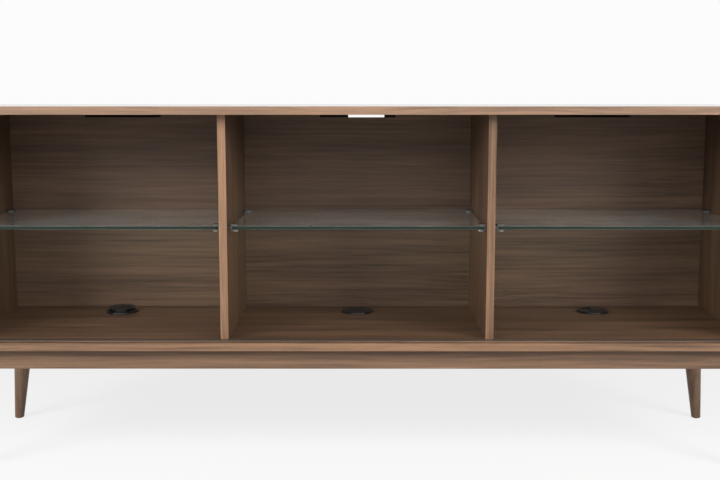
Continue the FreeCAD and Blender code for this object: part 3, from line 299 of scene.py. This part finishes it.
def studio_floor(name, shade):
    """Pale floor. Seen directly, in gloss or through glass it is near white and keeps the
    shadow; far from the cabinet it fades into the white surroundings."""
    s = Shading(name)
    place = s.node("TexCoord").outputs["Object"]
    paint = s.noise(place, 3.0, 2.0)
    near = s.ramp(paint, [(0.3, (0.70, 0.70, 0.70)), (0.7, (0.74, 0.74, 0.74))])
    matt = s.node("BsdfDiffuse", Color=near).outputs[0]
    bright = s.node("Emission", Color=(1.0, 1.0, 1.0, 1.0), Strength=shade).outputs[0]
    weak = s.node("BsdfDiffuse", Color=(0.22, 0.22, 0.22, 1.0)).outputs[0]
    seen = s.node("AddShader", i0=weak, i1=bright).outputs[0]
    white = s.node("Emission", Color=(1.0, 1.0, 1.0, 1.0), Strength=0.97).outputs[0]
    away = s.node("VectorMath", {"operation": "LENGTH"}, i0=place).outputs["Value"]
    far = s.limits(away, 2.2, 7.0)
    seen = s.node("MixShader", Fac=far, i1=seen, i2=white).outputs[0]
    path = s.node("LightPath").outputs
    direct = s.sum("MAXIMUM", path["Is Camera Ray"], path["Is Glossy Ray"])
    direct = s.sum("MAXIMUM", direct, path["Is Transmission Ray"])
    return s.finish(s.node("MixShader", Fac=direct, i1=matt, i2=seen).outputs[0])


def dress(material, *names):
    """Put a material on whole CAD nodes."""
    for name in names:
        mesh = NODES[name].data
        mesh.materials.clear()
        mesh.materials.append(material)


# ---- surfaces ----

def closed_surface(rings):
    """Quads between rings of points, shape (rings, points, 3); the first and last ring are
    each a single place and become a pole."""
    rows, around = rings.shape[:2]
    middle = rings[1:-1].reshape(-1, 3)
    points = np.vstack([rings[0, :1], middle, rings[-1, :1]])
    j = np.arange(around)
    k = (j + 1) % around
    last = len(points) - 1
    low = np.stack([np.zeros_like(j), 1 + k, 1 + j], axis=1)
    base = 1 + (rows - 3) * around
    high = np.stack([np.full_like(j, last), base + j, base + k], axis=1)
    row = 1 + around * np.arange(rows - 3)[:, None]
    quads = np.stack([row + j, row + k, row + around + k, row + around + j], axis=-1)
    return points, [low, quads.reshape(-1, 4), high]


def mesh_piece(name, surfaces, body, material, replaced):
    """One smooth object from (points, faces) surfaces, riding on a body."""
    points, faces, start = [], [], 0
    for spots, groups in surfaces:
        points.append(spots)
        for group in groups:
            faces.extend((group + start).tolist())
        start += len(spots)
    mesh = bpy.data.meshes.new(name)
    mesh.from_pydata(np.vstack(points).tolist(), [], faces)
    mesh.polygons.foreach_set("use_smooth", np.ones(len(mesh.polygons), bool))
    mesh.set_sharp_from_angle(angle=math.radians(38))
    mesh.materials.append(material)
    piece = bpy.data.objects.new(name, mesh)
    bpy.context.scene.collection.objects.link(piece)
    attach(piece, body)
    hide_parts(*replaced)
    return piece


def islands(name):
    """Boxes (low, high) of the separate solids of a CAD node. Equal points are joined, and
    each point takes the smallest label among its triangles until nothing changes."""
    mesh = NODES[name].data
    spots = np.zeros(len(mesh.vertices) * 3)
    mesh.vertices.foreach_get("co", spots)
    spots = spots.reshape(-1, 3)
    corners = np.zeros(len(mesh.loops), int)
    mesh.loops.foreach_get("vertex_index", corners)
    _, same = np.unique(np.round(spots * 1e6).astype(np.int64), axis=0, return_inverse=True)
    triangles = same.reshape(-1)[corners].reshape(-1, 3)
    label = np.arange(same.max() + 1)
    while True:
        least = label[triangles].min(axis=1)
        new = label.copy()
        for column in triangles.T:
            np.minimum.at(new, column, least)
        new = new[new]
        if np.array_equal(new, label):
            break
        label = new
    owner = label[same.reshape(-1)]
    kinds = np.unique(owner)
    low = np.stack([np.array([spots[owner == kind].min(axis=0)]) for kind in kinds])[:, 0]
    high = np.stack([np.array([spots[owner == kind].max(axis=0)]) for kind in kinds])[:, 0]
    return low, high


def rounded_leg(low, high, sign_x, sign_y, top_radius, foot_radius, foot_round):
    """Tapered leg: a circle whose radius and middle run straight from foot to top, with a
    quarter-round at the foot edge and a small one at the top edge."""
    foot = np.array([(low if sign_x < 0 else high)[0] - sign_x * foot_radius,
                     (low if sign_y < 0 else high)[1] - sign_y * foot_radius])
    top = np.array([(high if sign_x < 0 else low)[0] + sign_x * top_radius,
                    (high if sign_y < 0 else low)[1] + sign_y * top_radius])
    turn = np.linspace(0, math.pi / 2, 9)
    straight = np.linspace(0, 1, 26)[1:]
    height = high[2] - low[2]
    edge = 0.0008
    rise = np.concatenate([[0, 0], foot_round * (1 - np.cos(turn)), foot_round + straight
                           * (height - foot_round - edge), height - edge * (1 - np.sin(turn)),
                           [height]])
    full = foot_radius + (top_radius - foot_radius) * rise / height
    inset = np.concatenate([[0, 0], foot_round * (1 - np.sin(turn)), 0 * straight,
                            edge * (1 - np.cos(turn)), [0]])
    radius = full - inset
    radius[0] = radius[-1] = 0
    radius[1] = radius[2]
    along = (rise / height)[:, None]
    middle = foot * (1 - along) + top * along
    angle = np.linspace(0, 2 * math.pi, 65)[:-1]
    rings = np.empty((len(rise), len(angle), 3))
    rings[..., 0] = middle[:, :1] + radius[:, None] * np.cos(angle)
    rings[..., 1] = middle[:, 1:] + radius[:, None] * np.sin(angle)
    rings[..., 2] = (low[2] + rise)[:, None]
    return closed_surface(rings)


def knurled_screw(low, high, shank, bevel, knob_height):
    """Clamp screw: a knob whose rim is a circle with fine cosine ridges, and a plain shank."""
    middle = (low + high) / 2
    knob = (high[0] - low[0]) / 2
    height = high[2] - low[2]
    cut = 0.0004
    radius = np.array([0, 0.0016, 0.0019, knob - bevel, knob, knob, knob - bevel, shank,
                       shank, shank - cut, 0])
    rise = np.array([cut, cut, 0, 0, bevel, knob_height - bevel, knob_height, knob_height,
                     height - cut, height, height])
    ridge = np.array([0, 0, 0, 0.3, 1, 1, 0.3, 0, 0, 0, 0]) * 0.00035
    angle = np.linspace(0, 2 * math.pi, 145)[:-1]
    wave = 0.5 - 0.5 * np.cos(36 * angle)
    rings = np.empty((len(radius), len(angle), 3))
    reach = radius[:, None] - ridge[:, None] * wave
    rings[..., 0] = middle[0] + reach * np.cos(angle)
    rings[..., 1] = middle[1] + reach * np.sin(angle)
    rings[..., 2] = (low[2] + rise)[:, None]
    return closed_surface(rings)


def cross_screw(low, high, axis, head_first, head_height):
    """Screw along an axis. The head's top is a low dome less a cross: a groove where either
    level coordinate is small, fading out towards the rim. The shank tapers to its tip."""
    length = (high - low)[axis]
    others = [i for i in range(3) if i != axis]
    head = (high - low)[others[0]] / 2
    shank = head / 2
    dome = np.linspace(0, 1, 13)
    radius = np.concatenate([head * dome, [head, shank, shank, shank * 0.25, 0]])
    depth = np.concatenate([head_height * 0.45 * dome ** 2.4,
                            [head_height, head_height, length - shank * 1.6, length, length]])
    angle = np.linspace(0, 2 * math.pi, 49)[:-1]
    level = np.stack([radius[:, None] * np.cos(angle), radius[:, None] * np.sin(angle)])
    arm = head * 0.14
    groove = np.maximum(*[np.clip(1.6 - np.abs(line) / arm, 0, 1) for line in level])
    fade = np.clip(3.2 - radius / head * 5.0, 0, 1) * (np.arange(len(radius)) < 13)
    sunk = depth[:, None] + 0.42 * head_height * groove * fade[:, None]
    sunk[0] = sunk[0, 0]
    rings = np.empty((len(radius), len(angle), 3))
    rings[..., others[0]] = ((low + high) / 2)[others[0]] + level[0]
    rings[..., others[1]] = ((low + high) / 2)[others[1]] + level[1]
    rings[..., axis] = low[axis] + sunk if head_first else high[axis] - sunk
    flip = (axis == 1) != head_first
    return closed_surface(rings if flip else rings[:, ::-1])


# ---- settings ----

class CabinetFinish(bpy.types.PropertyGroup):
    walnut_edge: bpy.props.FloatVectorProperty(
        name="Case veneer", description="Mean colour of the case's walnut", subtype="COLOR",
        size=3, min=0, max=1, default=(0.30, 0.168, 0.094))
    # Painted shade: the backs are the case's walnut, darkened to about half its tone to stand in for
    # the shade inside the case
    walnut_back: bpy.props.FloatVectorProperty(
        name="Back veneer", description="Mean colour of the back panels", subtype="COLOR",
        size=3, min=0, max=1, default=(0.150, 0.088, 0.054))
    walnut_solid: bpy.props.FloatVectorProperty(
        name="Frame and legs", description="Mean colour of the rails and legs",
        subtype="COLOR", size=3, min=0, max=1, default=(0.235, 0.138, 0.084))
    beech: bpy.props.FloatVectorProperty(
        name="Beech", description="Colour of blocks and dowels", subtype="COLOR", size=3,
        min=0, max=1, default=(0.52, 0.33, 0.17))
    black: bpy.props.FloatVectorProperty(
        name="Black plastic", description="Colour of the grommets", subtype="COLOR", size=3,
        min=0, max=1, default=(0.012, 0.012, 0.013))
    steel: bpy.props.FloatVectorProperty(
        name="Satin nickel", description="Colour of clips, plates, bolts and screws", subtype="COLOR",
        size=3, min=0, max=1, default=(0.13, 0.128, 0.12))
    aluminium: bpy.props.FloatVectorProperty(
        name="Track aluminium", description="Colour of the door tracks", subtype="COLOR",
        size=3, min=0, max=1, default=(0.20, 0.19, 0.175))
    glass_edge: bpy.props.FloatVectorProperty(
        name="Glass edge", description="Colour of the ground glass edges", subtype="COLOR",
        size=3, min=0, max=1, default=(0.004, 0.018, 0.010))
    # Painted shade: darkens the boards' faces against their lit front edges, standing in for the
    # shade that falls on them
    face_shade_gain: bpy.props.FloatProperty(
        name="Face tone", description="Tone of the boards' faces against their front edges",
        default=0.44, min=0.1, max=1.5)
    veneer_gloss: bpy.props.FloatProperty(
        name="Veneer roughness", description="Roughness of the veneer's lacquer",
        default=0.42, min=0.05, max=1.0, subtype="FACTOR")
    leg_top: bpy.props.FloatProperty(
        name="Leg top radius", description="Radius of a leg at its top", default=0.026,
        unit="LENGTH")
    leg_foot: bpy.props.FloatProperty(
        name="Leg foot radius", description="Radius of a leg at its foot", default=0.0122,
        unit="LENGTH")
    foot_round: bpy.props.FloatProperty(
        name="Foot rounding", description="Rounding of a leg's foot edge", default=0.0025,
        unit="LENGTH")


class CabinetStage(bpy.types.PropertyGroup):
    lens: bpy.props.FloatProperty(
        name="Lens", description="Focal length on a 36 mm wide sensor", default=53.03,
        min=20, max=200, unit="CAMERA")
    tilt: bpy.props.FloatProperty(
        name="Tilt", description="How far the camera looks down",
        default=math.radians(7.93), subtype="ANGLE")
    side_lamps: bpy.props.FloatProperty(
        name="Side lamps", description="Power of each side lamp", default=34.0, min=0,
        unit="POWER")
    front_lamp: bpy.props.FloatProperty(
        name="Front lamp", description="Power of the high lamp in front", default=30.0, min=0,
        unit="POWER")
    fill: bpy.props.FloatProperty(
        name="Fill", description="Strength of the surroundings' light", default=0.07,
        min=0, max=2)


# ---- operators ----

BOARD_FIGURE = 0.06  # weight of the rings in each kind of walnut
BACK_FIGURE = 0.05
SOLID_FIGURE = 0.08
TOP_COAT = 1.0  # weight of the lacquer
BOARD_COAT = 0.1
KNOB_GAIN = 5.5  # tone of the turned knobs against the clips
FLOOR_GLOW = 0.80
LAMP_AIM = (0.0, 0.0, 0.6)
CAMERA_PLACE = (0.0096, -2.6475, 0.8956)
CAMERA_YAW = 0.06  # degrees


class CABINET_OT_case(bpy.types.Operator):
    """Veneer the top, floor, sides and dividers, with the grain along each board"""
    bl_idname = "cabinet.case"
    bl_label = "Veneer the case"

    def execute(self, context):
        finish = context.scene.cabinet_finish
        boards = (("top_panel", "X", 1.0), ("floor_panel", "X", 2.3),
                  ("left_side_panel", "Z", 3.1), ("right_side_panel", "Z", 4.7),
                  ("left_divider", "Z", 5.9), ("right_divider", "Z", 7.3))
        for name, along, shift in boards:
            coat = TOP_COAT if name == "top_panel" else BOARD_COAT
            # the face gain paints shade on every face but the front edges
            dress(walnut(f"{name}_veneer", along, finish.walnut_edge, shift, BOARD_FIGURE,
                         finish.veneer_gloss, coat, finish.face_shade_gain), name)
        return {"FINISHED"}


class CABINET_OT_backs(bpy.types.Operator):
    """Veneer the back panels along the width and fit the rubber strips"""
    bl_idname = "cabinet.backs"
    bl_label = "Veneer the backs"

    def execute(self, context):
        finish = context.scene.cabinet_finish
        strip = rubber("strip_rubber", finish.black)
        for bay, shift in zip(BAYS, (2.0, 3.4, 4.5)):
            # the back colour holds painted shade for the inside of the case
            dress(walnut(f"{bay}_back_veneer", "X", finish.walnut_back, shift, BACK_FIGURE,
                         finish.veneer_gloss + 0.05), f"{bay}_back_panel")
            dress(strip, f"{bay}_cable_strip")
        return {"FINISHED"}


class CABINET_OT_frame(bpy.types.Operator):
    """Finish the rails, corner blocks and dowels"""
    bl_idname = "cabinet.frame"
    bl_label = "Finish the frame"

    def execute(self, context):
        finish = context.scene.cabinet_finish
        rails = (("front_rail", "X", 1.7), ("rear_rail", "X", 2.9), ("left_end_rail", "Y", 3.3),
                 ("right_end_rail", "Y", 4.1), ("left_cross_rail", "Y", 5.2),
                 ("right_cross_rail", "Y", 6.4))
        for name, along, shift in rails:
            dress(walnut(f"{name}_walnut", along, finish.walnut_solid, shift, SOLID_FIGURE,
                         finish.veneer_gloss), name)
        dress(plain_wood("block_beech", "X", finish.beech),
              *[f"{corner}_block" for corner in CORNERS])
        dress(plain_wood("dowel_beech_z", "Z", finish.beech), "case_dowels")
        dress(plain_wood("dowel_beech_y", "Y", finish.beech), "rail_dowels")
        return {"FINISHED"}


class CABINET_OT_legs(bpy.types.Operator):
    """Turn the four tapered legs, and finish the glides, plates and bolts"""
    bl_idname = "cabinet.legs"
    bl_label = "Make the legs"

    def execute(self, context):
        finish = context.scene.cabinet_finish
        for index, corner in enumerate(CORNERS):
            low, high = (np.array(end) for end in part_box(f"{corner}_leg"))
            signs = (-1 if "left" in corner else 1, -1 if "front" in corner else 1)
            surface = rounded_leg(low, high, *signs, finish.leg_top, finish.leg_foot,
                                  finish.foot_round)
            wood = walnut(f"{corner}_leg_walnut", "Z", finish.walnut_solid, 1.3 + index,
                          SOLID_FIGURE, finish.veneer_gloss)
            mesh_piece(f"turned_{corner}_leg", [surface], "cabinet", wood, [f"{corner}_leg"])
        dress(moulded_plastic("glide_nylon", finish.black, 0.5, 900.0), "foot_glides")
        dress(brushed_metal("zinc", finish.steel, "X", 0.34), "leg_plates")
        dress(brushed_metal("zinc_bolts", finish.steel, "Z", 0.34), "leg_bolts")
        return {"FINISHED"}


class CABINET_OT_shelves(bpy.types.Operator):
    """Give the glass shelves clear glass with green edges"""
    bl_idname = "cabinet.shelves"
    bl_label = "Glaze the shelves"

    def execute(self, context):
        finish = context.scene.cabinet_finish
        glass = shelf_glass("float_glass", finish.glass_edge, (0.93, 0.975, 0.955))
        dress(glass, *[f"{bay}_glass_shelf" for bay in BAYS])
        return {"FINISHED"}


class CABINET_OT_clips(bpy.types.Operator):
    """Finish the shelf clips and pads, and make the knurled clamp screws"""
    bl_idname = "cabinet.clips"
    bl_label = "Make the clips"

    def execute(self, context):
        finish = context.scene.cabinet_finish
        nickel = brushed_metal("satin_nickel", finish.steel, "Y", 0.30)
        knob = brushed_metal("turned_nickel", scaled(finish.steel, KNOB_GAIN), "Z", 0.24)
        vinyl = soft_pad("clip_vinyl", (0.6, 0.62, 0.6))
        for bay in BAYS:
            dress(nickel, f"{bay}_shelf_clips")
            dress(vinyl, f"{bay}_clip_pads")
            lows, highs = islands(f"{bay}_clamp_screws")
            screws = [knurled_screw(low, high, 0.002, 0.0006, 0.0024)
                      for low, high in zip(lows, highs)]
            mesh_piece(f"{bay}_knurled_screws", screws, "cabinet", knob,
                       [f"{bay}_clamp_screws"])
        return {"FINISHED"}


class CABINET_OT_screws(bpy.types.Operator):
    """Make the cross-headed screws of backs, tracks, plates and frame"""
    bl_idname = "cabinet.screws"
    bl_label = "Make the screws"

    def execute(self, context):
        finish = context.scene.cabinet_finish
        zinc = brushed_metal("screw_zinc", finish.steel, "X", 0.32)
        groups = (("back_screws", 1, False, 0.0018), ("leg_plate_screws", 2, True, 0.0018),
                  ("frame_screws", 2, True, 0.003))
        for name, axis, head_first, head_height in groups:
            lows, highs = islands(name)
            screws = [cross_screw(low, high, axis, head_first, head_height)
                      for low, high in zip(lows, highs)]
            mesh_piece(f"cross_headed_{name}", screws, "cabinet", zinc, [name])
        lows, highs = islands("track_screws")
        middle = (lows[:, 2].min() + highs[:, 2].max()) / 2
        screws = [cross_screw(low, high, 2, low[2] > middle, 0.0018)
                  for low, high in zip(lows, highs)]
        mesh_piece("cross_headed_track_screws", screws, "cabinet", zinc, ["track_screws"])
        return {"FINISHED"}


class CABINET_OT_tracks(bpy.types.Operator):
    """Finish the door tracks in satin aluminium"""
    bl_idname = "cabinet.tracks"
    bl_label = "Finish the tracks"

    def execute(self, context):
        finish = context.scene.cabinet_finish
        dress(brushed_metal("track_metal", finish.aluminium, "X", 0.38), "upper_door_track",
              "lower_door_track")
        return {"FINISHED"}


class CABINET_OT_grommets(bpy.types.Operator):
    """Finish the grommets' liners, caps and shutters"""
    bl_idname = "cabinet.grommets"
    bl_label = "Finish the grommets"

    def execute(self, context):
        finish = context.scene.cabinet_finish
        shell = moulded_plastic("grommet_shell", finish.black, 0.26, 1600.0)
        inner = moulded_plastic("grommet_shutter", scaled(finish.black, 1.4), 0.36, 1200.0)
        for bay in BAYS:
            dress(shell, f"{bay}_grommet_liner", f"{bay}_grommet_cap")
            dress(inner, f"{bay}_grommet_shutter")
        return {"FINISHED"}


class CABINET_OT_stage(bpy.types.Operator):
    """Set the pale floor, the soft lamps and the camera"""
    bl_idname = "cabinet.stage"
    bl_label = "Set the stage"

    def execute(self, context):
        stage = context.scene.cabinet_stage
        self.lay_floor()
        self.set_world(context.scene, stage.fill)
        for name, place, size, power in (
                ("left_lamp", (-1.9, -1.6, 1.55), (1.0, 1.0), stage.side_lamps),
                ("right_lamp", (1.9, -1.6, 1.55), (1.0, 1.0), stage.side_lamps),
                ("front_lamp", (0.0, -3.0, 2.1), (3.5, 1.4), stage.front_lamp)):
            self.hang_lamp(name, Vector(place), size, power)
        self.place_camera(context.scene, stage)
        view = context.scene.view_settings
        view.view_transform = "Standard"
        return {"FINISHED"}

    def lay_floor(self):
        """Disc in rings that widen with the square of their number."""
        angle = np.linspace(0, 2 * math.pi, 97)[:-1]
        reach = 40.0 * np.linspace(0, 1, 14) ** 2
        rings = np.zeros((len(reach), len(angle), 3))
        rings[..., 0] = reach[:, None] * np.cos(angle)
        rings[..., 1] = reach[:, None] * np.sin(angle)
        points = rings.reshape(-1, 3)
        j = np.arange(len(angle))
        row = len(angle) * np.arange(1, len(reach) - 1)[:, None]
        k = (j + 1) % len(angle)
        quads = np.stack([row + j, row + len(angle) + j, row + len(angle) + k, row + k], -1)
        middle = np.stack([0 * j, len(angle) + j, len(angle) + k], -1)
        mesh = bpy.data.meshes.new("studio_floor")
        mesh.from_pydata(points.tolist(), [], quads.reshape(-1, 4).tolist() + middle.tolist())
        mesh.materials.append(studio_floor("studio_floor", FLOOR_GLOW))
        floor = bpy.data.objects.new("studio_floor", mesh)
        bpy.context.scene.collection.objects.link(floor)

    def set_world(self, scene, fill):
        """White where it is seen, reflected or looked at through glass; dim as a lamp."""
        world = bpy.data.worlds.new("studio")
        world.use_nodes = True
        tree = world.node_tree
        tree.nodes.clear()
        output = tree.nodes.new("ShaderNodeOutputWorld")
        path = tree.nodes.new("ShaderNodeLightPath")
        seen = tree.nodes.new("ShaderNodeBackground")
        seen.inputs["Strength"].default_value = 0.97
        lamp = tree.nodes.new("ShaderNodeBackground")
        lamp.inputs["Strength"].default_value = fill
        for background in (seen, lamp):
            background.inputs["Color"].default_value = (1.0, 1.0, 1.0, 1.0)
        first = tree.nodes.new("ShaderNodeMath")
        first.operation = "MAXIMUM"
        both = tree.nodes.new("ShaderNodeMath")
        both.operation = "MAXIMUM"
        choice = tree.nodes.new("ShaderNodeMixShader")
        join = tree.links.new
        join(path.outputs["Is Camera Ray"], first.inputs[0])
        join(path.outputs["Is Glossy Ray"], first.inputs[1])
        join(first.outputs[0], both.inputs[0])
        join(path.outputs["Is Transmission Ray"], both.inputs[1])
        join(both.outputs[0], choice.inputs[0])
        join(lamp.outputs[0], choice.inputs[1])
        join(seen.outputs[0], choice.inputs[2])
        join(choice.outputs[0], output.inputs["Surface"])
        scene.world = world

    def hang_lamp(self, name, place, size, power):
        """Rectangular lamp that looks at the middle of the case."""
        data = bpy.data.lights.new(name, "AREA")
        data.shape = "RECTANGLE"
        data.size, data.size_y = size
        data.energy = power
        lamp = bpy.data.objects.new(name, data)
        aim = (Vector(LAMP_AIM) - place).to_track_quat("-Z", "Y")
        lamp.matrix_world = Matrix.Translation(place) @ aim.to_matrix().to_4x4()
        bpy.context.scene.collection.objects.link(lamp)

    def place_camera(self, scene, stage):
        data = bpy.data.cameras.new("camera")
        data.lens = stage.lens
        data.sensor_width = 36.0
        data.clip_start, data.clip_end = 0.05, 100.0
        camera = bpy.data.objects.new("camera", data)
        camera.location = CAMERA_PLACE
        camera.rotation_euler = (math.pi / 2 - stage.tilt, 0.0, math.radians(CAMERA_YAW))
        scene.collection.objects.link(camera)
        scene.camera = camera


class CABINET_PT_panel(bpy.types.Panel):
    """Lists the cabinet's finishes and steps"""
    bl_label = "Cabinet"
    bl_idname = "CABINET_PT_panel"
    bl_space_type = "VIEW_3D"
    bl_region_type = "UI"
    bl_category = "Cabinet"

    def draw(self, context):
        for group in (context.scene.cabinet_finish, context.scene.cabinet_stage):
            for key in group.__annotations__:
                self.layout.prop(group, key)
        for step in STEPS:
            self.layout.operator(step.bl_idname)


STEPS = (CABINET_OT_case, CABINET_OT_backs, CABINET_OT_frame, CABINET_OT_legs,
         CABINET_OT_shelves, CABINET_OT_clips, CABINET_OT_screws, CABINET_OT_tracks,
         CABINET_OT_grommets, CABINET_OT_stage)
CLASSES = (CabinetFinish, CabinetStage) + STEPS + (CABINET_PT_panel,)


def register():
    for item in CLASSES:
        bpy.utils.register_class(item)
    bpy.types.Scene.cabinet_finish = bpy.props.PointerProperty(type=CabinetFinish)
    bpy.types.Scene.cabinet_stage = bpy.props.PointerProperty(type=CabinetStage)


def unregister():
    del bpy.types.Scene.cabinet_stage
    del bpy.types.Scene.cabinet_finish
    for item in reversed(CLASSES):
        bpy.utils.unregister_class(item)


def main():
    register()
    for step in STEPS:
        group, name = step.bl_idname.split(".")
        if getattr(getattr(bpy.ops, group), name)() != {"FINISHED"}:
            raise RuntimeError(f"{step.bl_idname} did not finish")


if __name__ == "__main__":
    main()
